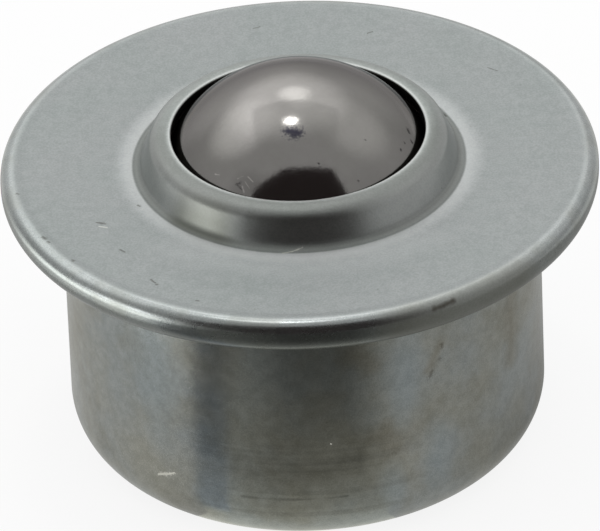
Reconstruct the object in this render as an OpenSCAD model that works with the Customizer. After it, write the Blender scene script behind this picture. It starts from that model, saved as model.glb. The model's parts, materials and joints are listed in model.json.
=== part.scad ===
// Drop-in ball transfer unit with a pressed steel flange.
// A large load ball turns freely in any direction on a bed of small support
// balls, which run in a hardened cup inside a drawn steel housing. A pressed
// cover is hemmed round the housing's brim and holds the ball in.
// The origin is on the axis at the seat plane, the underside of the flange.
// +Z points up, the way the ball stands out.

/* [Load ball] */
// Diameter of the load ball
ball_d = 22.2; // [20:0.1:25.4]
// Height of the ball's top above the seat plane
ball_rise = 9.8; // [9:0.1:10.8]

/* [Support balls] */
// Diameter of one support ball
support_d = 4; // [3.5:0.1:4.5]
// Running gap between a support ball and what it rolls on
race_gap = 0.05; // [0.03:0.01:0.08]
// Smallest gap between one ring of support balls and the next
bed_gap = 0.12; // [0.12:0.02:0.3]

/* [Bearing cup] */
// Thickness of the cup's wall at the height of the ball's centre
cup_wall = 1.55; // [1.2:0.05:2.5]
// Thickness of the cup under its race
cup_floor = 3; // [2:0.1:4]
// Radius of the cup's bottom corner
cup_corner_r = 14; // [10:0.5:14.5]
// Height of the cup's rim, measured down from the ball's centre
cup_rim_drop = 0.9; // [0.5:0.1:1.5]
// Chamfer on the cup's rim
cup_chamfer = 0.3; // [0.1:0.1:0.5]
// Gap between the cup and the housing's wall
cup_gap = 0.05; // [0.03:0.01:0.1]

/* [Housing] */
// Thickness of the housing's sheet
shell_t = 1.2; // [1:0.05:1.4]
// Outer radius of the housing's bottom corner
corner_r = 4; // [3:0.1:7]
// Radius under the brim, where it turns out of the wall
brim_bend_r = 0.5; // [0.3:0.1:0.7]

/* [Flange] */
// How far the flange stands out beyond the housing's wall
flange_overhang = 4.5; // [4.2:0.1:7]
// Thickness of the cover's sheet
cover_t = 0.8; // [0.6:0.05:1]
// How far the flange is drawn down at the collar's foot
flange_dip = 0.2; // [0.1:0.05:0.3]
// How far the rolled rim stands above the flange
bead_rise = 0.2; // [0.1:0.05:0.3]
// Width over which the flange climbs to the rolled rim
bead_run = 0.8; // [0.6:0.1:1]
// Width of the level top before the rim rolls over
bead_flat = 0.05; // [0.05:0.05:0.3]
// Gap between the housing's wall and the hem's edge, for the mating hole
hem_clear = 1.5; // [1.2:0.1:2]
// Gap between the brim's edge and the inside of the rolled rim
hem_gap = 0.1; // [0.05:0.05:0.3]

/* [Collar] */
// Height of the collar above the flange
collar_h = 2.54; // [2.3:0.02:2.8]
// How far the collar spreads from its shoulder to its foot
collar_spread = 2.4; // [2.2:0.05:3]
// Radius over the collar's shoulder
shoulder_r = 1.4; // [1.2:0.1:1.5]
// Radius in the crease at the collar's foot
crease_r = 0.3; // [0.2:0.05:0.5]
// Width of the level lip inside the shoulder
lip_flat = 0.45; // [0.3:0.05:0.6]
// Radius on the upper and lower edges of the lip's cut face
lip_edge_r = 0.12; // [0.08:0.02:0.2]
// Gap between the lip's lower edge and the load ball
lip_gap = 0.15; // [0.1:0.05:0.4]

/* [Seal ring] */
// Gap between the felt ring and the load ball
seal_gap = 0.1; // [0.05:0.05:0.2]
// Gap between the felt ring and the cover round it
seal_fit = 0.05; // [0.03:0.01:0.1]
// Height of the felt ring's top, measured down from the collar's top
seal_drop = 1.6; // [1.4:0.1:2]

/* [Hidden] */
$fn = 96;
// Points on an arc are this many degrees apart, or nearer on a wide arc,
// so that the outline stays within arc_error of the true arc.
arc_step = 7.5;
arc_error = 0.006;
// Radius of the slight bend where the flange begins to dip, and how far that
// is inside the brim's own bend.
dip_bend_r = 5;
dip_clear = 0.1;
// Share of the climb to the rolled rim that each of its two bends takes.
bend_share = 0.3;

// From the ball outwards: bed, race, cup, housing, flange.
ball_r = ball_d / 2;
ball_z = ball_rise - ball_r;
bed_r = ball_r + race_gap + support_d / 2;
race_r = bed_r + support_d / 2 + race_gap;
cup_r = race_r + cup_wall;
body_r = cup_r + cup_gap + shell_t;
flange_r = body_r + flange_overhang;

// From the ball downwards: race, cup, housing.
cup_rim_z = ball_z - cup_rim_drop;
cup_floor_z = ball_z - race_r - cup_floor;
bottom_z = cup_floor_z - shell_t;

// The flange is three sheets: the cover, the brim and the cover's hem.
flange_t = shell_t + 2 * cover_t;
brim_z = cover_t + shell_t / 2;
wall_r = body_r - shell_t / 2;
brim_flat_r = body_r + brim_bend_r;

// Rolled rim: the hem's bend, seen on the middle line of the cover's sheet.
cover_top_z = flange_t - cover_t / 2;
hem_z = cover_t / 2;
rim_r = flange_r - cover_t / 2;
rim_bend_r = (cover_top_z + bead_rise - hem_z) / 2;
climb_angle = atan(bead_rise / bead_run);
climb_bend_run = bend_share * norm([bead_run, bead_rise]);
climb_bend_r = climb_bend_run / tan(climb_angle / 2);
climb_r = rim_r - rim_bend_r - bead_flat - climb_bend_run - bead_run;
brim_r = rim_r - rim_bend_r - hem_gap;

// Collar: the lip's cut face follows the ball, and the foot follows the shoulder.
collar_z = flange_t + collar_h;
lip_z = collar_z - cover_t / 2;
lip_low_z = collar_z - cover_t + lip_edge_r;
lip_high_z = collar_z - lip_edge_r;
lip_edge_c = sqrt(pow(ball_r + lip_gap + lip_edge_r, 2) - pow(lip_low_z - ball_z, 2));
lip_r = lip_edge_c - lip_edge_r;
shoulder_c = [lip_r + lip_flat, collar_z - shoulder_r];
foot_r = shoulder_c[0] + collar_spread;
dip_r = brim_flat_r - dip_clear;
dip_angle = atan(flange_dip / (dip_r - foot_r));
crease_c = [foot_r - crease_r * sin(dip_angle),
            flange_t - flange_dip + crease_r * cos(dip_angle)];
reach = crease_c - shoulder_c;
// Angle between the collar's flank and the axis.
flank = atan2(reach[1], reach[0]) + acos((shoulder_r + crease_r) / norm(reach));

// ---- Sheet metal sections --------------------------------------------------
// A section is a row of corners [r, z, bend radius] on the sheet's middle line.

function unit(v) = v / norm(v);
function left_of(v) = [-v[1], v[0]];
function xy(p) = [p[0], p[1]];

// Points on an arc round c from angle a0 to angle a1.
function arc(c, r, a0, a1) =
    let (step = min(arc_step, 2 * acos(1 - arc_error / r)),
         steps = max(1, ceil(abs(a1 - a0) / step)))
    [for (i = [0 : steps])
        let (a = a0 + (a1 - a0) * i / steps)
        c + r * [cos(a), sin(a)]];

// Points of the bend at corner b between a and c, s to the left of the line.
function bend(a, b, c, s) =
    let (u = unit(xy(b) - xy(a)),
         v = unit(xy(c) - xy(b)),
         side = (u[0] * v[1] - u[1] * v[0]) > 0 ? 1 : -1,
         turn = acos(u * v),
         centre = xy(b) - u * b[2] * tan(turn / 2) + side * b[2] * left_of(u),
         out = -side * left_of(u),
         a0 = atan2(out[1], out[0]))
    arc(centre, b[2] - side * s, a0, a0 + side * turn);

// The line s to the left of a row of corners.
function offset_line(p, s) =
    let (n = len(p) - 1,
         first = left_of(unit(xy(p[1]) - xy(p[0]))),
         last = left_of(unit(xy(p[n]) - xy(p[n - 1]))))
    concat([xy(p[0]) + s * first],
           [for (i = [1 : n - 1]) each bend(p[i - 1], p[i], p[i + 1], s)],
           [xy(p[n]) + s * last]);

function reversed(p) = [for (i = [len(p) - 1 : -1 : 0]) p[i]];

// Closed section of a sheet of thickness t that follows the corners.
function sheet(p, t) = concat(offset_line(p, t / 2), reversed(offset_line(p, -t / 2)));

// ---- Housing: drawn cup with a brim ----------------------------------------

housing_line = [
    [0, bottom_z + shell_t / 2],
    [wall_r, bottom_z + shell_t / 2, corner_r - shell_t / 2],
    [wall_r, brim_z, brim_bend_r + shell_t / 2],
    [brim_r, brim_z]
];

module housing() {
    color("silver")
    rotate_extrude() polygon(sheet(housing_line, shell_t));
}

// ---- Cover: flange, collar and hem from one pressed sheet ------------------

// Corner where the shoulder's two straight lines would meet.
shoulder_corner = [
    shoulder_c[0] + (shoulder_r - cover_t / 2) * tan((90 - flank) / 2),
    lip_z
];
// Corner where the flank and the flange would meet.
crease_corner = crease_c
    + (crease_r + cover_t / 2) / cos((90 - flank + dip_angle) / 2)
    * [cos(225 + (flank + dip_angle) / 2), sin(225 + (flank + dip_angle) / 2)];

cover_line = [
    [lip_edge_c, lip_z],
    [shoulder_corner[0], shoulder_corner[1], shoulder_r - cover_t / 2],
    [crease_corner[0], crease_corner[1], crease_r + cover_t / 2],
    [dip_r + cover_t / 2 * tan(dip_angle / 2), cover_top_z, dip_bend_r],
    [climb_r, cover_top_z, climb_bend_r],
    [climb_r + bead_run, cover_top_z + bead_rise, climb_bend_r],
    [rim_r, cover_top_z + bead_rise, rim_bend_r],
    [rim_r, hem_z, rim_bend_r],
    [body_r + hem_clear, hem_z]
];

module cover() {
    color("gainsboro")
    rotate_extrude()
    polygon(concat(
        arc([lip_edge_c, lip_low_z], lip_edge_r, 270, 180),
        arc([lip_edge_c, lip_high_z], lip_edge_r, 180, 90),
        sheet(cover_line, cover_t)
    ));
}

// ---- Load ball -------------------------------------------------------------

module load_ball() {
    color("dimgray")
    translate([0, 0, ball_z]) sphere(r = ball_r);
}

// ---- Bearing cup: hardened race that the support balls run in --------------

module cup_section() {
    polygon(concat(
        [[0, cup_rim_z], [0, cup_floor_z]],
        arc([cup_r - cup_corner_r, cup_floor_z + cup_corner_r], cup_corner_r, 270, 360),
        [[cup_r, cup_rim_z - cup_chamfer], [cup_r - cup_chamfer, cup_rim_z]]
    ));
}

module bearing_cup() {
    color("slategray")
    difference() {
        rotate_extrude() cup_section();
        translate([0, 0, ball_z]) sphere(r = race_r);
    }
}

// ---- Seal ring: oiled felt between the cup, the cover and the ball ---------

seal_z = collar_z - seal_drop;
// The cover's inside, held off by the fit, is this far in from its outside.
skin = cover_t + seal_fit;

// Inner line of the cover, from the flank at seal_z out to the housing's wall.
function under_cover() =
    let (across = [cos(flank), sin(flank)],
         along = [sin(flank), -cos(flank)],
         start = shoulder_c + (shoulder_r - skin) * across,
         top = start + along * (start[1] - seal_z) / cos(flank))
    concat([top],
           arc(crease_c, crease_r + skin, 180 + flank, 270 + dip_angle),
           [[cup_r, flange_t - skin - (dip_r - cup_r) * tan(dip_angle)]]);

module seal_section() {
    inner_r = lip_r - cover_t;
    polygon(concat(
        [[inner_r, cup_rim_z], [inner_r, seal_z]],
        under_cover(),
        [[cup_r, cup_rim_z]]
    ));
}

module seal_ring() {
    color("saddlebrown")
    difference() {
        rotate_extrude() seal_section();
        translate([0, 0, ball_z]) sphere(r = ball_r + seal_gap);
    }
}

// ---- Support balls: one at the bottom and rings up the cup -----------------

// Angle at the ball's centre between one ring and the next.
ring_pitch = 2 * asin((support_d + bed_gap) / 2 / bed_r);
// As many rings as stay below the cup's rim.
bed_rings = floor(acos((cup_rim_drop + race_gap + support_d / 2) / bed_r) / ring_pitch);

// How many balls fit in a ring at an angle from straight down.
function ring_count(tilt) =
    floor(180 / asin((support_d + bed_gap / 2) / 2 / (bed_r * sin(tilt))));

// Each place is [angle from straight down, angle round the axis].
bed_places = concat([[0, 0]],
    [for (ring = [1 : bed_rings])
        let (tilt = ring * ring_pitch, count = ring_count(tilt))
        for (i = [0 : count - 1]) [tilt, 360 * (i + ring / 2) / count]]);

function support_name(i) = str("support_ball_", i < 9 ? "0" : "", i + 1);

module support_ball(place) {
    color("lightsteelblue")
    translate([0, 0, ball_z])
    rotate([0, 0, place[1]])
    translate(bed_r * [sin(place[0]), 0, -cos(place[0])])
    sphere(d = support_d);
}

housing();
cover();
load_ball();
bearing_cup();
seal_ring();
for (i = [0 : len(bed_places) - 1])
    support_ball(bed_places[i]);
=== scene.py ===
# %% [markdown]
# # A drop-in ball transfer unit
# One polished steel ball stands out of a pressed flange and turns in every direction on a bed
# of small balls, which run in a hardened cup inside a drawn steel housing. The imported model
# fixes every size and every joint. This notebook dresses it: each visible piece is worked out
# again as a finely stepped surface, gets the finish that the real metal has, and is lit as on
# a small product table.

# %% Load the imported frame
import json
import math
import bpy
import numpy as np
from mathutils import Matrix, Vector


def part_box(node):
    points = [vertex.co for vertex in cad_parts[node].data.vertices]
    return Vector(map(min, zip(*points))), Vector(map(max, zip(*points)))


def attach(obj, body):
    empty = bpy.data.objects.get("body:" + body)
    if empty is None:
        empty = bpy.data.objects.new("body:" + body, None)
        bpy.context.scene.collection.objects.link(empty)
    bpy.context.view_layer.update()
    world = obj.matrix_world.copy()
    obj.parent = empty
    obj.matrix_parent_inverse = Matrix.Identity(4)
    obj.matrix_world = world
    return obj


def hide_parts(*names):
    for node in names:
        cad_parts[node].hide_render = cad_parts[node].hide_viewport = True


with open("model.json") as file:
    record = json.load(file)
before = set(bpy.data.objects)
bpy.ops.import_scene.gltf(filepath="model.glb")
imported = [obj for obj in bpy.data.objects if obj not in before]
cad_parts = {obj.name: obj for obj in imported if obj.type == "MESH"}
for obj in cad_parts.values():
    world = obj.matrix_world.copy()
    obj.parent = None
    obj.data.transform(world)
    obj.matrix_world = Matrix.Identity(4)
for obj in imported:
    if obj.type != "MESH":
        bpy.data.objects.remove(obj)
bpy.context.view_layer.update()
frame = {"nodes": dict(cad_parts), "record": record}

# %% [markdown]
# Every piece here is round and stands on the same axis, so three numbers say where one is: its
# outer radius, its lowest point and its highest point. They are read from the frame, which keeps
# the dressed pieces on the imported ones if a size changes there.

# %% Read the round pieces' sizes
mm = 0.001


def round_span(node):
    """Outer radius, lowest z and highest z of a round node, in metres."""
    low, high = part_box(node)
    return (high[0] - low[0]) / 2, low[2], high[2]


ball_r, ball_low, ball_top = round_span("load_ball")
flange_r, seat_z, collar_z = round_span("cover")
brim_r, bottom_z, brim_top = round_span("housing")
ball_z = (ball_low + ball_top) / 2
mounts = {mount["name"]: mount for mount in frame["record"]["mounts"]}
body_r = mounts["body_spigot"]["dims"]["r_mm"] * mm
print(f"ball {2000 * ball_r:.2f} mm, body {2000 * body_r:.2f} mm, flange {2000 * flange_r:.2f} mm")

# %% [markdown]
# ## Surfaces of revolution
# A turned or pressed piece is its half section carried round the axis. Spin and Screw can do
# this too, but a few numpy lines give every vertex at once, close the poles with one vertex
# each, and leave the choice of steps to the piece: fine round a bend, none along a straight wall.

# %% Turn a section into a mesh
turns = 360


def lathe(name, section):
    """A closed surface of revolution, as a mesh object.

    A point (r, z) of the section goes to (r cos t, r sin t, z), with t in even steps round the
    axis. The section runs anticlockwise, with r to the right and z up, so that the faces point
    outwards. A closed ring of points makes a ring. A section whose ends lie on the axis makes a
    solid, and each end becomes one vertex.
    """
    section = np.asarray(section, dtype=float)
    poles = section[:, 0] < 1e-9
    rings = section[~poles]
    angle = np.linspace(0, 2 * np.pi, turns, endpoint=False)
    around = np.stack([np.cos(angle), np.sin(angle)], axis=-1)
    grid = np.empty((len(rings), turns, 3))
    grid[..., :2] = rings[:, None, :1] * around
    grid[..., 2] = rings[:, 1, None]
    verts = grid.reshape(-1, 3)

    steps = len(rings) - 1 if poles.any() else len(rings)
    i, j = np.meshgrid(np.arange(steps), np.arange(turns), indexing="ij")
    i_next, j_next = (i + 1) % len(rings), (j + 1) % turns
    corners = [i * turns + j, i * turns + j_next, i_next * turns + j_next, i_next * turns + j]
    faces = np.stack(corners, axis=-1).reshape(-1, 4).tolist()
    if poles.any():
        ends = [[0, 0, z] for z in section[poles, 1]]
        start, end = len(verts), len(verts) + 1
        verts = np.vstack([verts, ends])
        k = np.arange(turns)
        k_next = (k + 1) % turns
        last = (len(rings) - 1) * turns
        faces += np.stack([np.full(turns, start), k_next, k], axis=-1).tolist()
        faces += np.stack([last + k, last + k_next, np.full(turns, end)], axis=-1).tolist()
    mesh = bpy.data.meshes.new(name)
    mesh.from_pydata(verts.tolist(), [], faces)
    piece = bpy.data.objects.new(name, mesh)
    bpy.context.scene.collection.objects.link(piece)
    return piece


def soften(piece, sharp_angle=35):
    """Shades a piece smooth, but keeps edges sharper than sharp_angle degrees."""
    piece.data.shade_smooth()
    piece.data.set_sharp_from_angle(angle=math.radians(sharp_angle))
    print(piece.name, len(piece.data.vertices), "vertices,", len(piece.data.polygons), "faces")

# %% [markdown]
# ## Sections of bent sheet
# The cover and the housing are each one bent sheet of even thickness. A press operator would
# describe such a section by the corners of the sheet's middle line and the radius of each bend,
# and so does this code: it rounds the corners, then steps half the thickness to either side.

# %% Round the corners of a sheet's middle line
bend_step = math.radians(4)


def arc(centre, radius, start, end):
    """Points on an arc, evenly spaced by bend_step or less. Angles are in radians."""
    steps = max(2, math.ceil(abs(end - start) / bend_step))
    angle = np.linspace(start, end, steps + 1)
    return np.asarray(centre) + radius * np.stack([np.cos(angle), np.sin(angle)], axis=-1)


def unit(v):
    """The vector v, divided by its length."""
    return np.asarray(v) / np.linalg.norm(v)


def left_of(v):
    """The vector v turned a quarter turn to the left: (r, z) becomes (-z, r)."""
    return np.array([-v[1], v[0]])


def bend(before, corner, after, offset):
    """The rounded corner [r, z, radius], offset to the left of the line's direction.

    The arc touches both lines radius * tan(turn / 2) away from the corner, where turn is the
    angle between them. Its centre lies one radius to the side that the line turns to.
    """
    here, radius = np.array(corner[:2]), corner[2]
    u = unit(here - before[:2])
    v = unit(after[:2] - here)
    side = math.copysign(1, u[0] * v[1] - u[1] * v[0])
    turn = math.acos(np.clip(u @ v, -1, 1))
    centre = here - u * radius * math.tan(turn / 2) + side * radius * left_of(u)
    out = -side * left_of(u)
    start = math.atan2(out[1], out[0])
    return arc(centre, radius - side * offset, start, start + side * turn)


def offset_line(corners, offset):
    """The sheet's middle line with rounded corners, moved to its left by offset.

    Between the bends the line is straight, so only its first and last points are added.
    """
    corners = [np.array(c, dtype=float) for c in corners]
    first = corners[0][:2] + offset * left_of(unit(corners[1][:2] - corners[0][:2]))
    last = corners[-1][:2] + offset * left_of(unit(corners[-1][:2] - corners[-2][:2]))
    bends = [bend(a, b, c, offset) for a, b, c in zip(corners, corners[1:], corners[2:])]
    return np.vstack([[first]] + bends + [[last]])

# %% [markdown]
# ## The housing
# A cup drawn from 1.2 mm sheet: flat bottom, wide bottom corner, straight wall, and a brim that
# turns out sharply at the top. Drawing leaves the outside smooth, with a few faint rings where
# the die let go.

# %% Draw the housing
shell_t = 1.2 * mm
corner_r = 4 * mm
brim_bend_r = 0.5 * mm
cover_t = 0.8 * mm

wall_r = body_r - shell_t / 2
brim_z = brim_top - shell_t / 2
housing_corners = [
    (0, bottom_z + shell_t / 2),
    (wall_r, bottom_z + shell_t / 2, corner_r - shell_t / 2),
    (wall_r, brim_z, brim_bend_r + shell_t / 2),
    (brim_r, brim_z),
]
outside = offset_line(housing_corners, -shell_t / 2)
inside = offset_line(housing_corners, shell_t / 2)
housing = lathe("drawn_housing", np.vstack([outside, inside[::-1]]))
soften(housing)

# %% [markdown]
# ## The cover
# The flange, the raised collar and the rolled rim are one pressed sheet. Its edge is rolled
# round the housing's brim and closed flat below it, which is what holds the unit together: its
# upper bend is tight, from the press, and its lower bend is rounder, from the rolling. The
# collar ends in a cut face, with its edges barely rounded, that keeps a small gap to the ball.

# %% Press the cover
lip_gap = 0.15 * mm
lip_flat = 0.45 * mm
lip_edge_r = 0.12 * mm
collar_spread = 2.5 * mm
shoulder_r = 1.4 * mm
crease_r = 0.6 * mm
flange_dip = 0.2 * mm
dip_clear = 0.1 * mm
dip_bend_r = 5 * mm
bead_rise = 0.06 * mm
bead_run = 0.5 * mm
bead_flat = 0.05 * mm
bend_share = 0.3
hem_clear = 1.5 * mm
crest_bend_r = 0.6 * mm
hem_bend_r = 1.2 * mm

flange_t = brim_top + cover_t
cover_top = flange_t - cover_t / 2
hem_z = seat_z + cover_t / 2
rim_r = flange_r - cover_t / 2
climb_angle = math.atan(bead_rise / bead_run)
climb_bend_run = bend_share * math.hypot(bead_run, bead_rise)
climb_bend_r = climb_bend_run / math.tan(climb_angle / 2)
climb_r = rim_r - crest_bend_r - bead_flat - climb_bend_run - bead_run

lip_z = collar_z - cover_t / 2
lip_low_z = collar_z - cover_t + lip_edge_r
lip_high_z = collar_z - lip_edge_r
lip_edge_c = math.sqrt((ball_r + lip_gap + lip_edge_r) ** 2 - (lip_low_z - ball_z) ** 2)
lip_r = lip_edge_c - lip_edge_r
shoulder_c = np.array([lip_r + lip_flat, collar_z - shoulder_r])
foot_r = shoulder_c[0] + collar_spread
dip_r = body_r + brim_bend_r - dip_clear
dip_angle = math.atan(flange_dip / (dip_r - foot_r))
crease_c = np.array([foot_r - crease_r * math.sin(dip_angle),
                     flange_t - flange_dip + crease_r * math.cos(dip_angle)])
reach = crease_c - shoulder_c
flank = math.atan2(reach[1], reach[0]) + math.acos((shoulder_r + crease_r) / np.linalg.norm(reach))
shoulder_x = shoulder_c[0] + (shoulder_r - cover_t / 2) * math.tan((math.pi / 2 - flank) / 2)
half_fold = (math.pi / 2 - flank + dip_angle) / 2
crease_way = math.radians(225) + (flank + dip_angle) / 2
crease_corner = crease_c + ((crease_r + cover_t / 2) / math.cos(half_fold)
                            * np.array([math.cos(crease_way), math.sin(crease_way)]))
cover_corners = [
    (lip_edge_c, lip_z),
    (shoulder_x, lip_z, shoulder_r - cover_t / 2),
    (crease_corner[0], crease_corner[1], crease_r + cover_t / 2),
    (dip_r + cover_t / 2 * math.tan(dip_angle / 2), cover_top, dip_bend_r),
    (climb_r, cover_top, climb_bend_r),
    (climb_r + bead_run, cover_top + bead_rise, climb_bend_r),
    (rim_r, cover_top + bead_rise, crest_bend_r),
    (rim_r, hem_z, hem_bend_r),
    (body_r + hem_clear, hem_z),
]
top_side = offset_line(cover_corners, cover_t / 2)
under_side = offset_line(cover_corners, -cover_t / 2)
half_turn, quarter = math.pi, math.pi / 2
lip_high = arc((lip_edge_c, lip_high_z), lip_edge_r, quarter, half_turn)
lip_low = arc((lip_edge_c, lip_low_z), lip_edge_r, half_turn, half_turn + quarter)
cover = lathe("pressed_cover", np.vstack([under_side, top_side[::-1], lip_high[1:], lip_low[:-1]]))
soften(cover)

# %% [markdown]
# ## The load ball
# A sphere is its own section: half a circle carried round the axis. The steps are fine enough
# for the outline to stay round in a mirror finish.

# %% Turn the load ball
ball_steps = 180
tilt = np.linspace(0, np.pi, ball_steps + 1)
ball_section = np.stack([ball_r * np.sin(tilt), ball_z - ball_r * np.cos(tilt)], axis=-1)
ball_section[[0, -1], 0] = 0
ball = lathe("polished_ball", ball_section)
soften(ball)

# %% [markdown]
# ## Shader building blocks
# A material in Blender is a tree of nodes. Added one by one they fill pages, so a few helpers keep
# the materials readable: one adds a node and joins its inputs, some do sums, one makes a soft
# step between two values, and two blend colours.

# %% Helpers for node trees
class Tree:
    """Adds nodes to one node tree. An input given as a socket is joined, a value is set."""

    def __init__(self, tree):
        self.nodes, self.links = tree.nodes, tree.links

    def feed(self, socket, value):
        """Joins another node's output to the socket, or sets the socket's value."""
        if isinstance(value, bpy.types.NodeSocket):
            self.links.new(value, socket)
        else:
            socket.default_value = value

    def add(self, kind, inputs=None, **settings):
        """A new node of this kind, with its settings and its inputs."""
        node = self.nodes.new(kind)
        for name, value in settings.items():
            setattr(node, name, value)
        for name, value in (inputs or {}).items():
            self.feed(node.inputs[name], value)
        return node

    def calc(self, operation, a, b=0.0, clamp=False):
        """One sum of two values, under the Math node's own name for it."""
        return self.add("ShaderNodeMath", {0: a, 1: b}, operation=operation, use_clamp=clamp).outputs[0]

    def plus(self, a, b):
        return self.calc("ADD", a, b)

    def minus(self, a, b):
        return self.calc("SUBTRACT", a, b)

    def times(self, a, b):
        return self.calc("MULTIPLY", a, b)

    def vector(self, operation, a, b):
        """One sum of two vectors that gives a vector."""
        return self.add("ShaderNodeVectorMath", {0: a, 1: b}, operation=operation).outputs[0]

    def measure(self, operation, a, b=(0, 0, 0)):
        """One sum of two vectors that gives a value, such as LENGTH or DOT_PRODUCT."""
        return self.add("ShaderNodeVectorMath", {0: a, 1: b}, operation=operation).outputs["Value"]

    def scaled(self, vector, factor):
        """The vector times a value."""
        node = self.add("ShaderNodeVectorMath", {"Vector": vector, "Scale": factor}, operation="SCALE")
        return node.outputs[0]

    def split(self, vector):
        """A vector's parts, named X, Y and Z."""
        return self.add("ShaderNodeSeparateXYZ", {"Vector": vector}).outputs

    def join(self, x, y, z=0.0):
        """The vector with these parts."""
        return self.add("ShaderNodeCombineXYZ", {"X": x, "Y": y, "Z": z}).outputs[0]

    def step(self, value, low, high):
        """0 below low, 1 above high, and a smooth rise between. It falls if low is above high."""
        inputs = {"Value": value, "From Min": low, "From Max": high}
        return self.add("ShaderNodeMapRange", inputs, interpolation_type="SMOOTHSTEP").outputs[0]

    def mix(self, factor, a, b):
        """Colour a where factor is 0, colour b where it is 1."""
        node = self.add("ShaderNodeMix", data_type="RGBA")
        self.feed(node.inputs[0], factor)
        self.feed(node.inputs[6], a)
        self.feed(node.inputs[7], b)
        return node.outputs[2]

    def paint(self, color, mask, amount, coat):
        """Lays the colour coat over color where the mask is 1, as strongly as amount says."""
        return self.mix(self.times(mask, amount), color, coat)

    def group(self, group, inputs):
        """A node group placed in this tree."""
        return self.add("ShaderNodeGroup", inputs, node_tree=group)


def new_group(name, inputs, outputs):
    """An empty shader group with these sockets, its tree helper, its input and output nodes."""
    group = bpy.data.node_groups.new(name, "ShaderNodeTree")
    kinds = {"value": "NodeSocketFloat", "vector": "NodeSocketVector", "color": "NodeSocketColor"}
    for label, kind, default in inputs:
        socket = group.interface.new_socket(label, in_out="INPUT", socket_type=kinds[kind])
        socket.default_value = default
    for label, kind in outputs:
        group.interface.new_socket(label, in_out="OUTPUT", socket_type=kinds[kind])
    tree = Tree(group)
    return group, tree, tree.add("NodeGroupInput").outputs, tree.add("NodeGroupOutput").inputs


def new_material(name):
    """A material with one Principled BSDF, its tree helper and its place in millimetres."""
    material = bpy.data.materials.new(name)
    material.use_nodes = True
    tree = Tree(material.node_tree)
    shader = next(n for n in tree.nodes if n.type == "BSDF_PRINCIPLED")
    place = tree.scaled(tree.add("ShaderNodeTexCoord").outputs["Object"], 1 / mm)
    return material, tree, shader, place


white = (1, 1, 1, 1)
black = (0, 0, 0, 1)

# %% [markdown]
# ## Groups for worn metal
# A few effects come back on several pieces, so each is one node group with named inputs, which
# each piece sets in its own way. The first two are noises. Grain is the fine tooth that plating
# leaves. Clouds are slow changes of tone, with a soft edge round a threshold.

# %% Grain and clouds
grain_group, tree, inputs, outputs = new_group(
    "fine grain", [("Vector", "vector", (0, 0, 0)), ("Size", "value", 0.2)], [("Height", "value")])
noise = tree.add("ShaderNodeTexNoise", {"Vector": inputs["Vector"], "Detail": 3.0, "Roughness": 0.6,
                                        "Scale": tree.calc("DIVIDE", 1.0, inputs["Size"])})
tree.feed(outputs["Height"], noise.outputs["Fac"])

cloud_group, tree, inputs, outputs = new_group(
    "clouds", [("Vector", "vector", (0, 0, 0)), ("Size", "value", 8.0),
               ("Threshold", "value", 0.5), ("Softness", "value", 0.2)], [("Mask", "value")])
noise = tree.add("ShaderNodeTexNoise", {"Vector": inputs["Vector"], "Detail": 4.0, "Roughness": 0.55,
                                        "Scale": tree.calc("DIVIDE", 1.0, inputs["Size"])})
low = tree.minus(inputs["Threshold"], inputs["Softness"])
high = tree.plus(inputs["Threshold"], inputs["Softness"])
tree.feed(outputs["Mask"], tree.step(noise.outputs["Fac"], low, high))

# %% [markdown]
# Draw lines run round a piece that was pressed or turned. They are one more noise, squeezed in
# height and stretched along the wall, so that it breaks up into long thin streaks.

# %% Draw lines
draw_group, tree, inputs, outputs = new_group(
    "draw lines", [("Vector", "vector", (0, 0, 0)), ("Pitch", "value", 0.5),
                   ("Length", "value", 20.0)], [("Height", "value")])
split = tree.split(inputs["Vector"])
along = tree.calc("DIVIDE", 1.0, inputs["Length"])
stretched = tree.join(tree.times(split["X"], along), tree.times(split["Y"], along),
                      tree.calc("DIVIDE", split["Z"], inputs["Pitch"]))
noise = tree.add("ShaderNodeTexNoise", {"Vector": stretched, "Scale": 1.0, "Detail": 3.0})
tree.feed(outputs["Height"], noise.outputs["Fac"])

# %% [markdown]
# Specks are tiny dots strewn over a surface: one in each cell of a Voronoi pattern, of which
# only a share is kept.

# %% Specks
speck_group, tree, inputs, outputs = new_group(
    "specks", [("Vector", "vector", (0, 0, 0)), ("Spacing", "value", 1.0),
               ("Size", "value", 0.1), ("Share", "value", 0.3)], [("Mask", "value")])
cells = tree.add("ShaderNodeTexVoronoi", {"Vector": inputs["Vector"],
                                          "Scale": tree.calc("DIVIDE", 1.0, inputs["Spacing"])})
reach = tree.calc("DIVIDE", inputs["Size"], inputs["Spacing"])
dots = tree.step(cells.outputs["Distance"], reach, 0.0)
lot = tree.add("ShaderNodeSeparateColor", {"Color": cells.outputs["Color"]}).outputs["Red"]
tree.feed(outputs["Mask"], tree.times(dots, tree.calc("LESS_THAN", lot, inputs["Share"])))

# %% [markdown]
# A mark is a mask round a short straight line, or round a point if the line is short: it falls
# with the distance from the line, to nothing at the mark's reach. One slow noise, shared by all
# the marks of a list, swells and shrinks that reach, so that no outline is quite even.

# %% Marks
mark_group, tree, inputs, outputs = new_group(
    "mark", [("Vector", "vector", (0, 0, 0)), ("Start", "vector", (0, 0, 0)),
             ("End", "vector", (1, 0, 0)), ("Reach", "value", 0.1), ("Swell", "value", 1.0)],
    [("Mask", "value")])
line = tree.vector("SUBTRACT", inputs["End"], inputs["Start"])
here = tree.vector("SUBTRACT", inputs["Vector"], inputs["Start"])
share = tree.calc("DIVIDE", tree.measure("DOT_PRODUCT", here, line),
                  tree.measure("DOT_PRODUCT", line, line), clamp=True)
away = tree.vector("SUBTRACT", here, tree.scaled(line, share))
distance = tree.measure("LENGTH", away)
edge = tree.times(inputs["Reach"], inputs["Swell"])
tree.feed(outputs["Mask"], tree.step(tree.calc("DIVIDE", distance, edge), 1.0, 0.0))


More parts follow.
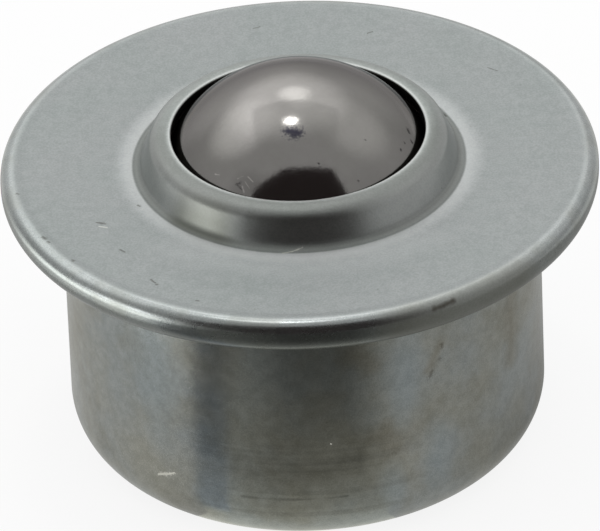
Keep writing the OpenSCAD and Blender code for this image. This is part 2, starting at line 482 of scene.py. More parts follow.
def marks(tree, vector, places, size=0.25, ragged=2.5):
    """One mask for several marks, each (start, end, reach) in millimetres.

    The reach swells and shrinks with a noise whose features are as wide as size.
    """
    noise = tree.add("ShaderNodeTexNoise", {"Vector": vector, "Scale": 1 / size, "Detail": 1.0})
    swell = tree.plus(tree.times(noise.outputs["Fac"], ragged), 1 - ragged / 2)
    swell = tree.calc("MAXIMUM", swell, 0.05)
    total = None
    for start, end, reach in places:
        mark = tree.group(mark_group, {"Vector": vector, "Start": start, "End": end,
                                       "Reach": reach, "Swell": swell}).outputs["Mask"]
        total = mark if total is None else tree.calc("MAXIMUM", total, mark)
    return total


print("groups:", ", ".join(group.name for group in bpy.data.node_groups))

# %% [markdown]
# ## Finish of the cover
# Bright zinc over pressed sheet: pale, slightly green and satin. A painted image could hold its
# wear, but nearly all of it follows the distance from the axis or a place on the piece, so masks
# from Object coordinates are enough, and they stay sharp however close one looks.

# %% Satin zinc: places on the cover
satin_zinc, tree, shader, place = new_material("satin zinc")
split = tree.split(place)
flat_place = tree.join(split["X"], split["Y"])
radius = tree.measure("LENGTH", flat_place)
foot_mm = foot_r / mm
lip_mm = lip_edge_c / mm
rim_mm = flange_r / mm
collar_mm = collar_z / mm
seat_mm = seat_z / mm
on_collar = tree.step(radius, foot_mm + 0.3, foot_mm - 0.3)
on_flank = tree.times(on_collar, tree.step(radius, lip_mm + 0.6, lip_mm + 1.6))
on_lip = tree.step(radius, lip_mm + 0.3, lip_mm + 0.05)
on_rim = tree.step(radius, rim_mm - 1.3, rim_mm - 0.7)
print(f"lip at {lip_mm:.2f} mm, collar's foot at {foot_mm:.2f} mm, rim at {rim_mm:.2f} mm")

# %% [markdown]
# Plated sheet is never one grey. Slow clouds change its tone, and a fine tooth of lighter and
# darker grains keeps the satin from looking like plastic.

# %% Satin zinc: tone
clouds = tree.group(cloud_group, {"Vector": place, "Size": 7.0, "Threshold": 0.5, "Softness": 0.25})
mottle = tree.group(cloud_group, {"Vector": place, "Size": 0.9, "Threshold": 0.5, "Softness": 0.3})
grain = tree.group(grain_group, {"Vector": place, "Size": 0.15})
color = tree.mix(clouds.outputs["Mask"], (0.215, 0.238, 0.232, 1), (0.233, 0.25, 0.247, 1))
tooth = tree.plus(tree.times(mottle.outputs["Mask"], 0.15),
                  tree.times(grain.outputs["Height"], 0.85))
color = tree.mix(tree.step(tooth, 0.3, 0.7), tree.mix(0.07, color, black), tree.mix(0.06, color, white))

# %% [markdown]
# The collar was stretched, so it is dull and slightly yellow. Painted shade darkens its shoulder at
# the front and a patch of its flank at the left front, painted light makes both sides of the flank
# paler, and painted shade darkens the crease at its foot. Beside the crease the flange has a ring
# of painted light, and more painted light in front.

# %% Satin zinc: the collar and its foot
color = tree.paint(color, on_collar, 0.25, (0.20, 0.205, 0.175, 1))
# Painted shade: the collar's shoulder is darkened at the front only.
painted_shade_on_shoulder = tree.times(tree.step(radius, foot_mm - 1.1, foot_mm - 1.6),
                         tree.step(radius, lip_mm + 0.1, lip_mm + 0.45))
painted_shade_on_shoulder = tree.times(painted_shade_on_shoulder, tree.step(split["Y"], 3.5, -1.0))
color = tree.paint(color, painted_shade_on_shoulder, 0.3, (0.05, 0.05, 0.04, 1))
color = tree.paint(color, on_flank, 0.03, white)
# Painted light: both sides of the flank are paler, the right side more.
painted_light_on_sides = tree.times(on_flank, tree.step(tree.calc("ABSOLUTE", split["X"]), 2.0, 7.0))
side_light_amount = tree.plus(0.05, tree.times(tree.step(split["X"], -4.0, 4.0), 0.04))
color = tree.paint(color, painted_light_on_sides, side_light_amount, white)
# Painted shade: a darker patch on the flank at its left front.
painted_shade_on_flank = marks(tree, flat_place, [((-9.0, -8.0, 0), (-6.2, -10.0, 0), 2.0)], size=2.5, ragged=0.6)
painted_shade_on_flank = tree.times(on_flank, painted_shade_on_flank)
color = tree.paint(color, painted_shade_on_flank, 0.6, (0.10, 0.105, 0.08, 1))
# Painted shade in the crease at the collar's foot.
in_crease = tree.step(tree.calc("ABSOLUTE", tree.minus(radius, foot_mm - 0.25)), 0.45, 0.15)
color = tree.paint(color, in_crease, 0.3, (0.09, 0.10, 0.085, 1))
# Painted light: a paler ring on the flange just past the crease.
past_foot = tree.step(radius, foot_mm - 0.05, foot_mm + 0.15)
painted_light_by_foot = tree.times(past_foot, tree.step(radius, foot_mm + 1.7, foot_mm + 0.3))
color = tree.paint(color, painted_light_by_foot, 0.16, white)
# More painted light on the flange in front of the collar.
painted_light_in_front = tree.times(past_foot, tree.step(radius, foot_mm + 4.5, foot_mm + 0.5))
painted_light_in_front = tree.times(painted_light_in_front, tree.step(split["Y"], -9.0, -13.0))
color = tree.paint(color, painted_light_in_front, 0.11, white)

# %% [markdown]
# The tools wore the rolled rim smooth, and stains have dulled it in places; painted shade darkens
# its front right and the fold below it. Round the opening, painted shade darkens the cut face almost
# to black, and its upper edge has a painted highlight.

# %% Satin zinc: the rim and the lip
color = tree.paint(color, on_rim, 0.03, white)
rim_stain = tree.group(cloud_group, {"Vector": place, "Size": 2.5, "Threshold": 0.55, "Softness": 0.12})
# Stains in clouds, and painted shade along the rim's front right.
rim_stain_and_shade = marks(tree, place, [((7.0, -21.4, 1.4), (16.0, -15.8, 1.4), 3.4)], size=2.0, ragged=1.0)
rim_stain_and_shade = tree.calc("MAXIMUM", tree.times(rim_stain.outputs["Mask"], 0.4), rim_stain_and_shade)
rim_stain_and_shade = tree.times(on_rim, rim_stain_and_shade)
color = tree.paint(color, rim_stain_and_shade, 0.45, (0.16, 0.155, 0.115, 1))
# Painted shade in the fold below the rim.
fold = tree.times(on_rim, tree.step(split["Z"], seat_mm + 0.5, seat_mm + 0.1))
color = tree.paint(color, fold, 0.75, (0.06, 0.06, 0.05, 1))
# Painted shade: the cut face inside the lip is darkened almost to black.
painted_shade_on_cut_face = tree.times(tree.step(radius, lip_mm + 0.02, lip_mm - 0.06),
                  tree.step(split["Z"], collar_mm - 0.02, collar_mm - 0.12))
color = tree.paint(color, painted_shade_on_cut_face, 0.85, (0.02, 0.018, 0.014, 1))
# A painted highlight along the lip's upper edge.
painted_highlight_on_lip = tree.times(tree.step(radius, lip_mm + 0.16, lip_mm + 0.04),
                       tree.step(split["Z"], collar_mm - 0.12, collar_mm - 0.02))
color = tree.paint(color, painted_highlight_on_lip, 0.1, white)

# %% [markdown]
# Handling leaves short dark nicks and a few bright scuffs, and there is one brown spot of rust
# at the rim. Each is a mark: where it starts, where it ends, and how far it reaches.

# %% Satin zinc: nicks, scuffs and rust
nicks = marks(tree, flat_place, [
    ((-15.3, -7.55, 0), (-14.6, -7.8, 0), 0.12), ((-14.95, -7.65, 0), (-14.85, -7.7, 0), 0.28),
    ((-11.3, -15.5, 0), (-11.0, -16.0, 0), 0.13), ((-10.9, -16.2, 0), (-10.85, -16.2, 0), 0.16),
    ((-19.25, -9.4, 0), (-19.1, -9.6, 0), 0.26), ((-18.9, -10.0, 0), (-18.8, -10.1, 0), 0.16),
    ((-12.15, -5.3, 0), (-12.05, -5.4, 0), 0.2), ((-13.5, -11.4, 0), (-13.2, -11.7, 0), 0.14),
    ((-17.05, -12.6, 0), (-17.0, -12.7, 0), 0.2),
    ((-21.2, -3.4, 0), (-21.1, -3.5, 0), 0.16), ((-8.0, -18.5, 0), (-7.8, -18.6, 0), 0.12),
    ((11.0, 5.4, 0), (11.2, 5.2, 0), 0.2), ((14.6, 11.4, 0), (15.3, 10.9, 0), 0.08),
    ((-3.1, 18.2, 0), (-2.6, 18.4, 0), 0.09), ((5.6, 16.9, 0), (6.0, 17.1, 0), 0.1)])
dots = tree.group(speck_group, {"Vector": place, "Spacing": 1.3, "Size": 0.11, "Share": 0.16})
dark = tree.calc("MAXIMUM", nicks, tree.times(dots.outputs["Mask"], 0.55))
color = tree.paint(color, dark, 0.7, (0.055, 0.055, 0.045, 1))
scuffs = marks(tree, flat_place, [((-1.5, -12.45, 0), (-0.75, -12.28, 0), 0.09),
                                  ((-0.75, -12.28, 0), (0.0, -12.05, 0), 0.07),
                                  ((-15.1, -8.1, 0), (-14.5, -8.3, 0), 0.1)])
color = tree.paint(color, scuffs, 0.6, (0.6, 0.6, 0.54, 1))
rust = marks(tree, place, [((9.4, -20.2, 2.3), (10.15, -19.85, 2.35), 0.36),
                           ((10.15, -19.85, 2.35), (10.85, -19.4, 2.45), 0.4)], size=0.4, ragged=1.2)
color = tree.paint(color, rust, 0.95, (0.024, 0.019, 0.01, 1))
tree.feed(shader.inputs["Base Color"], color)

# %% [markdown]
# Gloss follows the same places: the rim, the flank and the lip are smoother than the flange, and
# the crease, the stains and the painted shade on the rim are rougher. The flange is only partly
# metallic, so that it keeps an even satin tone from every side. The bump holds the tooth, with a
# dent at each nick.

# %% Satin zinc: gloss and relief
roughness = tree.minus(0.5, tree.times(on_rim, 0.27))
roughness = tree.minus(roughness, tree.times(on_flank, 0.17))
roughness = tree.minus(roughness, tree.times(on_lip, 0.22))
roughness = tree.plus(roughness, tree.times(in_crease, 0.35))
roughness = tree.plus(roughness, tree.times(tooth, 0.04))
roughness = tree.plus(roughness, tree.times(rim_stain_and_shade, 0.15))
tree.feed(shader.inputs["Roughness"], roughness)
shine = tree.plus(0.6, tree.times(tree.calc("MAXIMUM", on_rim, on_collar), 0.4))
tree.feed(shader.inputs["Metallic"], tree.minus(shine, tree.times(rust, 0.6)))
depth = tree.minus(tooth, tree.times(dark, 1.5))
bump = tree.add("ShaderNodeBump", {"Height": depth, "Strength": 0.4, "Distance": 0.02 * mm})
tree.feed(shader.inputs["Normal"], bump.outputs["Normal"])
print("satin zinc:", len(tree.nodes), "nodes")

# %% [markdown]
# ## Finish of the housing
# The drawn wall was stretched smooth before it was plated, so it is shinier than the flange and
# shows its surroundings in broad bands. Its thin plating stains in soft bluish and brownish
# patches, which are marks with a long reach and a ragged edge. The bluish ones are laid in a
# place whose height is halved, which makes them twice as tall.

# %% Drawn steel: tone and stains
drawn_steel, tree, shader, place = new_material("drawn steel")
split = tree.split(place)
clouds = tree.group(cloud_group, {"Vector": place, "Size": 8.0, "Threshold": 0.52, "Softness": 0.2})
elsewhere = tree.vector("ADD", place, (31, 7, 3))
patches = tree.group(cloud_group, {"Vector": elsewhere, "Size": 4.5, "Threshold": 0.56,
                                   "Softness": 0.12})
mottle = tree.group(cloud_group, {"Vector": place, "Size": 0.8, "Threshold": 0.5, "Softness": 0.3})
grain = tree.group(grain_group, {"Vector": place, "Size": 0.12})
lines = tree.group(draw_group, {"Vector": place, "Pitch": 0.7, "Length": 30.0})
color = tree.mix(clouds.outputs["Mask"], (0.375, 0.405, 0.405, 1), (0.40, 0.40, 0.35, 1))
color = tree.paint(color, patches.outputs["Mask"], 0.45, (0.28, 0.27, 0.215, 1))
tall = tree.join(split["X"], split["Y"], tree.times(split["Z"], 0.5))
bluish = marks(tree, tall, [((7.3, -16.4, -2.6), (7.1, -16.5, -3.4), 2.6),
                            ((9.7, -15.2, -6.8), (9.5, -15.3, -7.2), 2.0),
                            ((6.1, -16.9, -8.0), (6.3, -16.8, -8.2), 1.6),
                            ((-11.5, -13.8, -2.2), (-11.3, -14.0, -3.8), 3.6)], size=2.0, ragged=1.2)
color = tree.paint(color, bluish, 0.6, (0.38, 0.44, 0.47, 1))
brown = marks(tree, place, [((3.6, -17.6, -3.4), (4.4, -17.4, -4.2), 1.9),
                            ((5.6, -17.1, -11.0), (6.2, -16.9, -11.9), 2.2),
                            ((9.9, -15.0, -4.4), (8.9, -15.6, -6.3), 0.8),
                            ((15.4, -9.35, -4.5), (15.25, -9.55, -9.8), 1.5)], size=1.5, ragged=1.6)
color = tree.paint(color, brown, 0.5, (0.24, 0.215, 0.155, 1))

# %% [markdown]
# Faint lines run round the lower wall, where the sheet slid over the die: thin streaks in front.
# Higher up one soft dark band crosses the front, and a thin dark line runs just above the bottom corner.

# %% Drawn steel: lines from the die and dark bands
bottom_mm = bottom_z / mm
low_wall = tree.step(split["Z"], bottom_mm + 11.7, bottom_mm + 7.7)
off_centre = tree.calc("ABSOLUTE", tree.plus(split["X"], 0.5))
streaks = tree.times(tree.step(lines.outputs["Height"], 0.48, 0.68), low_wall)
streaks = tree.times(streaks, tree.step(off_centre, 11.0, 5.0))
color = tree.paint(color, streaks, 0.32, (0.16, 0.16, 0.14, 1))
band = marks(tree, tall, [((-5.5, -17.1, -6.75), (-0.5, -17.99, -6.8), 1.3),
                          ((-0.5, -17.99, -6.8), (3.5, -17.6, -6.4), 1.1)], size=2.0, ragged=1.4)
color = tree.paint(color, band, 0.4, (0.15, 0.15, 0.13, 1))
low_dark_line = marks(tree, place, [((-5.3, -17.2, -15.9), (-1.4, -17.95, -15.9), 0.2),
                             ((-1.4, -17.95, -15.9), (2.6, -17.8, -15.85), 0.17)], size=1.0, ragged=1.2)
color = tree.paint(color, low_dark_line, 0.5, (0.08, 0.08, 0.07, 1))

# %% [markdown]
# The wall has the fine tooth of all plating, dark specks and a short trail of them, and a few
# bright flecks, where something scraped it to a matt pale scar.

# %% Drawn steel: tooth, specks and flecks
tooth = tree.plus(tree.times(mottle.outputs["Mask"], 0.25),
                  tree.times(grain.outputs["Height"], 0.75))
color = tree.mix(tree.step(tooth, 0.3, 0.7), tree.mix(0.12, color, black), tree.mix(0.08, color, white))
dots = tree.group(speck_group, {"Vector": place, "Spacing": 1.1, "Size": 0.1, "Share": 0.2})
trail = marks(tree, place, [((10.05, -14.94, -4.4), (10.0, -14.97, -4.75), 0.24),
                            ((9.86, -15.06, -5.6), (9.84, -15.07, -5.7), 0.2),
                            ((9.25, -15.44, -6.45), (9.05, -15.56, -6.9), 0.26)], size=0.15, ragged=3.5)
dark = tree.calc("MAXIMUM", tree.times(trail, 0.6), tree.times(dots.outputs["Mask"], 0.4))
color = tree.paint(color, dark, 0.7, (0.06, 0.05, 0.03, 1))
flecks = marks(tree, place, [((-11.45, -13.89, -15.9), (-10.84, -14.37, -15.6), 0.22),
                             ((-10.84, -14.37, -15.6), (-10.3, -14.76, -15.25), 0.2),
                             ((1.5, -17.94, -10.95), (1.53, -17.94, -11.0), 0.08)], size=0.2, ragged=2.6)
flecks = tree.times(flecks, 0.75)
color = tree.mix(flecks, color, (0.75, 0.74, 0.66, 1))
tree.feed(shader.inputs["Base Color"], color)

# %% [markdown]
# The wall is a true metal, apart from the scars. Its bump holds the tooth everywhere and the
# draw lines low down.

# %% Drawn steel: gloss and relief
roughness = tree.plus(0.2, tree.times(clouds.outputs["Mask"], 0.06))
tree.feed(shader.inputs["Roughness"], roughness)
tree.feed(shader.inputs["Metallic"], tree.minus(1.0, tree.times(flecks, 0.8)))
height = tree.plus(tooth, tree.times(lines.outputs["Height"], low_wall))
bump = tree.add("ShaderNodeBump", {"Height": height, "Strength": 0.4, "Distance": 0.015 * mm})
tree.feed(shader.inputs["Normal"], bump.outputs["Normal"])
print("drawn steel:", len(tree.nodes), "nodes")

# %% [markdown]
# ## Finish of the load ball
# Hardened balls are lapped to a mirror, so this one is mostly reflections: its own tone is a
# dark, slightly warm grey, with a faint haze that softens the mirror a little.

# %% Polished steel: tone
ball_steel, tree, shader, place = new_material("ball steel")
clouds = tree.group(cloud_group, {"Vector": place, "Size": 5.0, "Threshold": 0.5, "Softness": 0.3})
mottle = tree.group(cloud_group, {"Vector": place, "Size": 0.5, "Threshold": 0.5, "Softness": 0.35})
grain = tree.group(grain_group, {"Vector": place, "Size": 0.3})
color = tree.mix(clouds.outputs["Mask"], (0.20, 0.196, 0.184, 1), (0.21, 0.203, 0.196, 1))
color = tree.paint(color, mottle.outputs["Mask"], 0.12, (0.13, 0.115, 0.11, 1))

# %% [markdown]
# It has carried loads, and has a few pits, a smudge near its crown, and a cluster of small
# curved cuts on one side, dull in their depth and bright along their edges.

# %% Polished steel: pits, smudge and cuts
pits = marks(tree, place, [
    ((8.2, -1.6, 6.0), (8.3, -1.8, 5.85), 0.22), ((8.4, -2.4, 5.5), (8.5, -2.5, 5.4), 0.18),
    ((7.6, -3.9, 5.8), (7.6, -3.95, 5.7), 0.15), ((7.9, -3.1, 5.9), (7.95, -3.15, 5.8), 0.1),
    ((1.4, -7.2, 7.0), (1.45, -7.2, 6.95), 0.14), ((4.95, -4.85, 7.3), (5.0, -4.85, 7.25), 0.12),
    ((4.3, -7.55, 5.55), (4.35, -7.55, 5.5), 0.11)])
smudge = marks(tree, place, [((-0.75, -5.05, 8.55), (0.05, -5.25, 8.48), 0.62),
                             ((-0.4, -5.35, 8.4), (-0.2, -5.4, 8.38), 0.55)], size=0.16, ragged=3.0)
dull_cuts = marks(tree, place, [
    ((-4.7, -7.4, 5.55), (-4.5, -7.4, 5.65), 0.19), ((-4.7, -7.4, 5.55), (-4.5, -7.65, 5.4), 0.13),
    ((-4.5, -7.65, 5.4), (-4.3, -7.85, 5.3), 0.1)])
bright_cuts = marks(tree, place, [
    ((-4.3, -7.6, 5.5), (-4.2, -8.05, 5.15), 0.09), ((-4.6, -7.1, 5.85), (-4.0, -7.1, 6.1), 0.07),
    ((-3.85, -7.3, 6.1), (-3.5, -7.7, 5.9), 0.07), ((-4.1, -7.45, 5.8), (-3.8, -7.9, 5.5), 0.06),
    ((-6.3, -6.0, 5.6), (-6.0, -6.2, 5.65), 0.08)])
worn = tree.calc("MAXIMUM", pits, tree.times(dull_cuts, 0.8))
color = tree.paint(color, worn, 0.8, (0.03, 0.028, 0.03, 1))
color = tree.paint(color, smudge, 0.85, (0.012, 0.012, 0.03, 1))
color = tree.paint(color, bright_cuts, 0.5, (0.5, 0.48, 0.46, 1))
tree.feed(shader.inputs["Base Color"], color)

# %% [markdown]
# A mirror shows every unevenness, so the bump is very shallow. Specular Tint darkens the edge,
# where a bare Principled metal would turn almost white.

# %% Polished steel: gloss and relief
roughness = tree.plus(0.09, tree.times(mottle.outputs["Mask"], 0.05))
tree.feed(shader.inputs["Roughness"], tree.plus(roughness, tree.times(worn, 0.3)))
shader.inputs["Metallic"].default_value = 1.0
shader.inputs["Specular Tint"].default_value = (0.5, 0.49, 0.5, 1)
bump = tree.add("ShaderNodeBump", {"Height": grain.outputs["Height"], "Strength": 0.4,
                                   "Distance": 0.01 * mm})
tree.feed(shader.inputs["Normal"], bump.outputs["Normal"])
print("ball steel:", len(tree.nodes), "nodes")

# %% [markdown]
# ## Finishes of the hidden pieces
# The felt ring, the cup and its small balls sit in the dark below the collar, and only a thin
# line of them can be seen past the load ball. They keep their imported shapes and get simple
# finishes of their own: dark oiled felt, ground cup steel, and clean bearing steel.

# %% Felt, bearing steel and cup steel
felt, tree, shader, place = new_material("oiled felt")
fuzz = tree.group(grain_group, {"Vector": place, "Size": 0.15})
color = tree.mix(fuzz.outputs["Height"], (0.012, 0.009, 0.007, 1), (0.045, 0.032, 0.022, 1))
tree.feed(shader.inputs["Base Color"], color)
shader.inputs["Roughness"].default_value = 0.85

bearing_steel, tree, shader, place = new_material("bearing steel")
haze = tree.group(cloud_group, {"Vector": place, "Size": 2.0, "Threshold": 0.5, "Softness": 0.3})
color = tree.mix(haze.outputs["Mask"], (0.42, 0.41, 0.40, 1), (0.50, 0.49, 0.48, 1))
tree.feed(shader.inputs["Base Color"], color)
shader.inputs["Roughness"].default_value = 0.12
shader.inputs["Metallic"].default_value = 1.0

cup_steel, tree, shader, place = new_material("cup steel")
lines = tree.group(draw_group, {"Vector": place, "Pitch": 0.2, "Length": 10.0})
color = tree.mix(lines.outputs["Height"], (0.09, 0.09, 0.10, 1), (0.16, 0.16, 0.17, 1))
tree.feed(shader.inputs["Base Color"], color)
shader.inputs["Roughness"].default_value = 0.35
shader.inputs["Metallic"].default_value = 1.0


def wear(node, material):
    """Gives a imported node's object this material."""
    piece = frame["nodes"][node]
    piece.data.materials.clear()
    piece.data.materials.append(material)


for node in frame["nodes"]:
    if node.startswith("support_ball"):
        wear(node, bearing_steel)
wear("bearing_cup", cup_steel)
wear("seal_ring", felt)
print("materials:", ", ".join(material.name for material in bpy.data.materials))

# %% [markdown]
# ## Hanging the pieces on the frame
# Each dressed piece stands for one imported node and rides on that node's body. The housing and
# the cover stay with the casing, and the load ball turns on its own.

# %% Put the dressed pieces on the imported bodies
for piece, material, node, body, slot in (
        (housing, drawn_steel, "housing", "casing", "drawn_steel"),
        (cover, satin_zinc, "cover", "casing", "zinc_plate"),
        (ball, ball_steel, "load_ball", "main_ball", "ball_steel")):
    piece.data.materials.append(material)
    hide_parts(node)
    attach(piece, body)
    print(piece.name, "stands for", node, "and rides on", body)

# %% [markdown]
# ## The floor
# Polished metal shows what stands round it, so the light is part of the finish. The unit stands
# on a white floor. A floor that only glowed would hide the shadow, and one that was only lit
# would turn grey, so this one glows for the camera and for reflections, and the rest is paper.

# %% A white floor that keeps the shadow
floor_size = 3.0
floor_mesh = bpy.data.meshes.new("floor")
edge = floor_size / 2
floor_mesh.from_pydata([(-edge, -edge, bottom_z), (edge, -edge, bottom_z),
                        (edge, edge, bottom_z), (-edge, edge, bottom_z)], [], [(0, 1, 2, 3)])
floor = bpy.data.objects.new("floor", floor_mesh)
bpy.context.scene.collection.objects.link(floor)
floor_white = bpy.data.materials.new("floor white")
floor_white.use_nodes = True
tree = Tree(floor_white.node_tree)
tree.nodes.clear()
light_path = tree.add("ShaderNodeLightPath").outputs
seen = tree.calc("MAXIMUM", light_path["Is Camera Ray"], light_path["Is Glossy Ray"])
seen = tree.calc("MAXIMUM", seen, light_path["Is Transmission Ray"])
floor_glow = 0.85
paper = tree.add("ShaderNodeBsdfDiffuse", {"Color": (0.9, 0.9, 0.9, 1)})
glow = tree.add("ShaderNodeEmission", {"Color": white, "Strength": 1.0})
both = tree.add("ShaderNodeMixShader", {0: tree.times(seen, floor_glow)})
tree.feed(both.inputs[1], paper.outputs[0])
tree.feed(both.inputs[2], glow.outputs[0])
tree.feed(tree.add("ShaderNodeOutputMaterial").inputs["Surface"], both.outputs[0])
floor_mesh.materials.append(floor_white)
print("floor:", floor_size, "m square")

# %% [markdown]
# ## Cards that only reflections see
# In an even white surround polished metal looks like paint. Dark things near it give it its deep
# tones: one tall card stands towards the viewer, and a mat lies on the floor. Ray visibility
# hides both from the camera, and keeps them out of the light and the shadows.

# %% A helper for cards
def new_card(name, corners):
    """A flat card that shows only in reflections. Gives its tree helper and its emission node."""
    mesh = bpy.data.meshes.new(name)
    mesh.from_pydata(corners, [], [tuple(range(len(corners)))])
    card = bpy.data.objects.new(name, mesh)
    bpy.context.scene.collection.objects.link(card)
    card.visible_camera = False
    card.visible_diffuse = False
    card.visible_shadow = False
    card.visible_transmission = False
    material = bpy.data.materials.new(name)
    material.use_nodes = True
    tree = Tree(material.node_tree)
    tree.nodes.clear()
    glow = tree.add("ShaderNodeEmission")
    tree.feed(tree.add("ShaderNodeOutputMaterial").inputs["Surface"], glow.outputs[0])
    mesh.materials.append(material)
    print(name, len(corners), "corners")
    return tree, glow

# %% [markdown]
# The ball shows the tall card as the dark patch near its foot. Its upper left corner is cut off,
# which slants the patch's left side.

# %% The tall card
card_y = -300 * mm
card_left, card_right, card_top = -315 * mm, 285 * mm, 540 * mm
card_cut_x, card_cut_z = 190 * mm, 210 * mm
tree, glow = new_card("front_card", [
    (card_left, card_y, bottom_z), (card_right, card_y, bottom_z), (card_right, card_y, card_top),
    (card_left + card_cut_x, card_y, card_top), (card_left, card_y, card_top - card_cut_z)])
glow.inputs["Color"].default_value = (0.05, 0.04, 0.04, 1)

# %% [markdown]
# The wall and the rim show the floor next to them, so a grey mat lies round the unit, just above
# the floor. Its tones depend on the distance from the wall and on the direction.

# %% The grey mat and its directions
mat_z = bottom_z + 0.2 * mm
mat_r = 290 * mm
mat_sides = 48
around = np.linspace(0, 2 * np.pi, mat_sides, endpoint=False)
mat_corners = np.stack([mat_r * np.cos(around), mat_r * np.sin(around), np.full(mat_sides, mat_z)],
                       axis=-1)
tree, glow = new_card("grey_mat", mat_corners.tolist())
place = tree.scaled(tree.add("ShaderNodeTexCoord").outputs["Object"], 1 / mm)
split = tree.split(place)
flat_place = tree.join(split["X"], split["Y"])
from_axis = tree.measure("LENGTH", flat_place)
from_wall = tree.minus(from_axis, body_r / mm)


def direction_from(x, y):
    """The mat's direction seen from the point (x, y) mm, in degrees, by the arc tangent.

    It is 0 to the front and positive to the right.
    """
    angle = tree.calc("ARCTAN2", tree.minus(split["X"], x), tree.minus(y, split["Y"]))
    return tree.times(angle, math.degrees(1))


turn = direction_from(0.0, 0.0)

# %% [markdown]
# In front the mat has a dark sector, which is lightest near the wall and towards the left, with
# a narrow bluish strip at its left edge.

# %% The mat's dark sector
in_front = tree.times(tree.step(direction_from(-8.8, -15.7), -60.0, -55.0),
                      tree.step(direction_from(6.2, -16.9), 56.0, 6.0))
in_front = tree.times(in_front, tree.step(split["Y"], -8.0, -14.0))
fade = tree.calc("EXPONENT", tree.calc("DIVIDE", from_wall, -9.5))
front_tone = tree.plus(0.052, tree.times(fade, 0.53))
front_tone = tree.plus(front_tone, tree.times(tree.step(turn, -4.0, -26.0), 0.11))
strip = tree.times(tree.step(direction_from(-6.6, -16.75), -36.0, -44.0), tree.step(from_wall, 0.6, 2.4))
front_tone = tree.minus(front_tone, tree.times(strip, 0.10))
front_color = tree.mix(strip, (1.0, 1.0, 0.92, 1), (0.92, 1.01, 1.1, 1))

# %% [markdown]
# Elsewhere the mat is a lighter grey. Further out it is bright on the left, as if light from a
# window fell there, and at the back.

# %% The mat's sides, the window light and the back
window = tree.times(tree.step(turn, -40.0, -50.0), tree.step(turn, -120.0, -90.0))
window = tree.times(window, tree.step(from_axis, 42.0, 72.0))
in_front = tree.times(in_front, tree.minus(1.0, window))
on_right = tree.step(split["X"], 8.0, 24.0)
side_tone = tree.minus(0.49, tree.times(on_right, 0.06))
# On the right the mat is darker near the wall: a painted shadow of the unit on the floor.
painted_shadow_near_right = tree.times(on_right, tree.step(from_wall, 9.0, 1.0))
side_tone = tree.minus(side_tone, tree.times(painted_shadow_near_right, 0.16))
side_tone = tree.plus(side_tone, tree.times(tree.step(turn, -36.0, -50.0), 0.05))
side_tone = tree.plus(side_tone, tree.times(window, 2.8))
at_back = tree.times(tree.step(split["Y"], 5.0, 30.0), tree.step(from_axis, 50.0, 75.0))
side_tone = tree.plus(side_tone, tree.times(at_back, 0.5))
tone = tree.add("ShaderNodeMapRange", {"Value": in_front, "To Min": side_tone, "To Max": front_tone})
tree.feed(glow.inputs["Strength"], tone.outputs[0])
tree.feed(glow.inputs["Color"], tree.mix(in_front, (1.0, 1.0, 0.97, 1), front_color))

# %% [markdown]
# ## Light
# One small oval lamp hangs overhead, a little behind the unit. It adds only the sparkle on the
# ball and along the rim. The light itself comes from the surround.

# %% Lamp
lamp_way = Vector((-0.075, 0.19, 0.974)).normalized()
lamp_far = 600 * mm
lamp_data = bpy.data.lights.new("overhead lamp", "AREA")
lamp_data.shape = "ELLIPSE"
lamp_data.size = 83 * mm
lamp_data.size_y = 54 * mm
lamp_data.energy = 0.23
lamp = bpy.data.objects.new("overhead lamp", lamp_data)
lamp_side = Vector((0, 1, 0)).cross(lamp_way).normalized()
lamp.matrix_world = Matrix((lamp_side, lamp_way.cross(lamp_side), lamp_way)).transposed().to_4x4()
lamp.location = lamp_way * lamp_far
bpy.context.scene.collection.objects.link(lamp)
print("lamp:", lamp_data.energy, "W")

# %% [markdown]
# The surround lights everything evenly and white. Only reflections see it vary, as lit and unlit
# walls would: it has a few soft lobes, and a duller square panel overhead. An image of a room
# could do this too, but its tones couldn't be set one by one.

# %% Surround and panel
world = bpy.data.worlds.new("white surround")
bpy.context.scene.world = world
world.use_nodes = True
tree = Tree(world.node_tree)
background = next(n for n in tree.nodes if n.type == "BACKGROUND")
way = tree.add("ShaderNodeTexCoord").outputs["Generated"]
light_path = tree.add("ShaderNodeLightPath").outputs
ways = tree.split(way)
across = tree.calc("DIVIDE", ways["X"], ways["Z"])
along = tree.plus(tree.calc("DIVIDE", ways["Y"], ways["Z"]), tree.times(across, 0.12))
panel = tree.times(tree.step(tree.calc("ABSOLUTE", tree.plus(across, 0.03)), 0.57, 0.50),
                   tree.step(along, 0.66, 0.58))
panel = tree.times(panel, tree.step(ways["Z"], 0.2, 0.4))

# %% [markdown]
# A lobe is a soft round patch in one direction, brighter or darker than the rest.

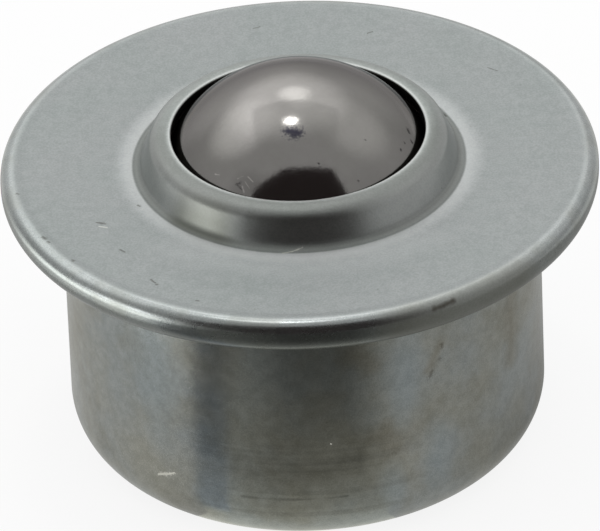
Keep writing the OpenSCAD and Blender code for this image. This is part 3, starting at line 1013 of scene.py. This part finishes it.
# %% Lobes
def lobe(azimuth, height, reach):
    """1 towards a point of the surround, falling to 0 at reach degrees from it.

    Azimuth runs from the front, the viewer's side, to the right, and height is above the
    horizon. The dot product of two directions is the cosine of the angle between them.
    """
    a, h = math.radians(azimuth), math.radians(height)
    point = (math.cos(h) * math.sin(a), -math.cos(h) * math.cos(a), math.sin(h))
    near = tree.measure("DOT_PRODUCT", way, point)
    return tree.step(near, math.cos(math.radians(reach)), 1.0)


lobes = (  # azimuth, height and reach in degrees, and what the lobe adds to white
    (-168, 57, 41, 1.2), (-178, 50, 11, 1.5), (176, 60, 9, 0.4), (-120, 49, 28, 0.85),
    (116, 50, 30, 0.45), (-156, 17, 34, 0.45), (162, 17, 36, 0.27), (-68, -4, 24, 4.2),
    (-50, 32, 22, -0.2), (62, 15, 34, -0.1))
bright = None
for azimuth, height, reach, gain in lobes:
    part = tree.times(lobe(azimuth, height, reach), gain)
    bright = part if bright is None else tree.plus(bright, part)
bright = tree.times(bright, tree.minus(1.0, tree.times(panel, 0.4)))
extra = tree.minus(bright, tree.times(tree.step(ways["Z"], 0.5, 0.08), 0.12))
extra = tree.times(tree.minus(extra, 0.2), light_path["Is Glossy Ray"])
tree.feed(background.inputs["Color"], tree.plus(1.0, extra))
print("surround:", len(lobes), "lobes")

# %% [markdown]
# ## Camera
# The camera looks down on the unit from the front with a long lens, so that the round edges keep
# nearly their true ellipses. It is rolled by a degree or two, as a hand-held one is. The aim
# point places the unit in the frame.

# %% Camera
view_up = math.radians(33.98)
view_roll = math.radians(2.33)
view_far = 800 * mm
aim = Vector((-0.26, 0.0, -6.95)) * mm
towards = Vector((0, math.cos(view_up), -math.sin(view_up)))
level_right = Vector((1, 0, 0))
level_up = level_right.cross(towards)
right = math.cos(view_roll) * level_right - math.sin(view_roll) * level_up
up = math.sin(view_roll) * level_right + math.cos(view_roll) * level_up
camera_data = bpy.data.cameras.new("camera")
camera_data.sensor_width = 36
camera_data.lens = 634.9
camera_data.clip_start = 10 * mm
camera = bpy.data.objects.new("camera", camera_data)
camera.matrix_world = Matrix((right, up, -towards)).transposed().to_4x4()
camera.location = aim - towards * view_far
bpy.context.scene.collection.objects.link(camera)
bpy.context.scene.camera = camera
bpy.context.scene.view_settings.view_transform = "Standard"
print(f"camera: {camera_data.lens} mm lens, {math.degrees(view_up):.1f} degrees above the floor")
